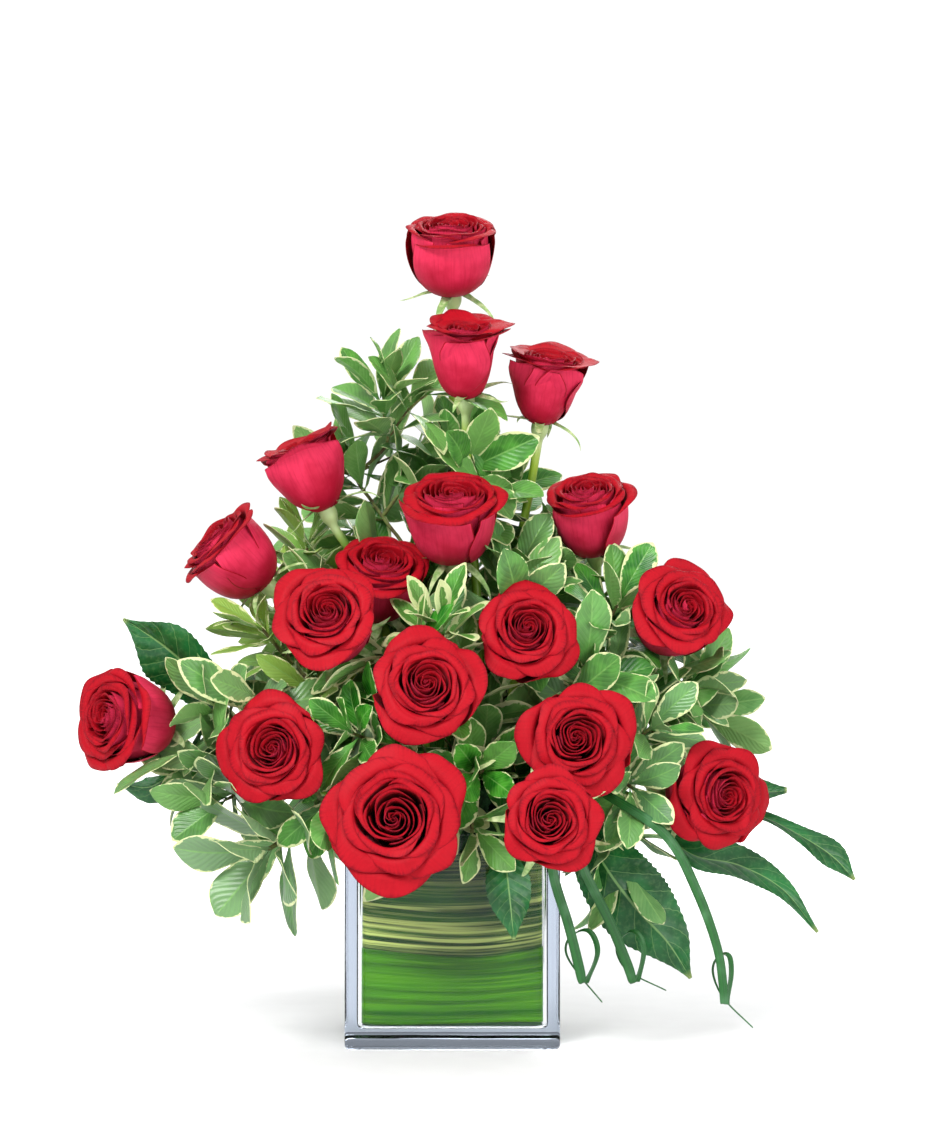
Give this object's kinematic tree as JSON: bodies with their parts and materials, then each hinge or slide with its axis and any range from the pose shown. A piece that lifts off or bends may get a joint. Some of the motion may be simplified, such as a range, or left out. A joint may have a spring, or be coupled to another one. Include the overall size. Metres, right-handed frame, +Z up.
{
  "type": "rose arrangement in a vase",
  "caption": "One-sided arrangement of red roses, variegated foliage, broad leaves and looped grass blades in floral foam in a square clear glass vase lined with leaves.",
  "frame": {"origin": "centre of the vase's underside", "axes": "+Z up; -Y towards the viewer, which is the arrangement's front; +X to the viewer's right"},
  "size_m": [0.4676, 0.2781, 0.5016],
  "materials": {
    "clear_glass": "gloss",
    "wet_foam": "matte",
    "liner_leaf_green": "satin",
    "liner_leaf_streaked": "satin",
    "rose_petal": "matte",
    "rose_stem": "satin",
    "variegated_foliage": "satin",
    "broad_leaf": "satin",
    "grass_blade": "satin"
  },
  "bodies": {
    "root": {"broad_leaf_front": "broad_leaf", "broad_spray_left": "broad_leaf", "broad_spray_right": "broad_leaf", "floral_foam": "wet_foam", "glass_vase": "clear_glass", "grass_blade_far": "grass_blade", "grass_blade_middle": "grass_blade", "grass_blade_near": "grass_blade", "liner_leaf_lower": "liner_leaf_green", "liner_leaf_upper": "liner_leaf_streaked", "rose_01_bloom": "rose_petal", "rose_01_stem": "rose_stem", "rose_02_bloom": "rose_petal", "rose_02_stem": "rose_stem", "rose_03_bloom": "rose_petal", "rose_03_stem": "rose_stem", "rose_04_bloom": "rose_petal", "rose_04_stem": "rose_stem", "rose_05_bloom": "rose_petal", "rose_05_stem": "rose_stem", "rose_06_bloom": "rose_petal", "rose_06_stem": "rose_stem", "rose_07_bloom": "rose_petal", "rose_07_stem": "rose_stem", "rose_08_bloom": "rose_petal", "rose_08_stem": "rose_stem", "rose_09_bloom": "rose_petal", "rose_09_stem": "rose_stem", "rose_10_bloom": "rose_petal", "rose_10_stem": "rose_stem", "rose_11_bloom": "rose_petal", "rose_11_stem": "rose_stem", "rose_12_bloom": "rose_petal", "rose_12_stem": "rose_stem", "rose_13_bloom": "rose_petal", "rose_13_stem": "rose_stem", "rose_14_bloom": "rose_petal", "rose_14_stem": "rose_stem", "rose_15_bloom": "rose_petal", "rose_15_stem": "rose_stem", "rose_16_bloom": "rose_petal", "rose_16_stem": "rose_stem", "rose_17_bloom": "rose_petal", "rose_17_stem": "rose_stem", "rose_18_bloom": "rose_petal", "rose_18_stem": "rose_stem", "sprig_back_left": "variegated_foliage", "sprig_back_right": "variegated_foliage", "sprig_front_rim": "variegated_foliage", "sprig_left": "variegated_foliage", "sprig_lower_left": "variegated_foliage", "sprig_lower_middle": "variegated_foliage", "sprig_lower_right": "variegated_foliage", "sprig_middle_pale": "variegated_foliage", "sprig_middle_right": "variegated_foliage", "sprig_right": "variegated_foliage", "sprig_top_left": "variegated_foliage", "sprig_top_middle": "variegated_foliage", "sprig_upper_left": "variegated_foliage", "sprig_upper_right": "variegated_foliage"}
  },
  "joints": []
}
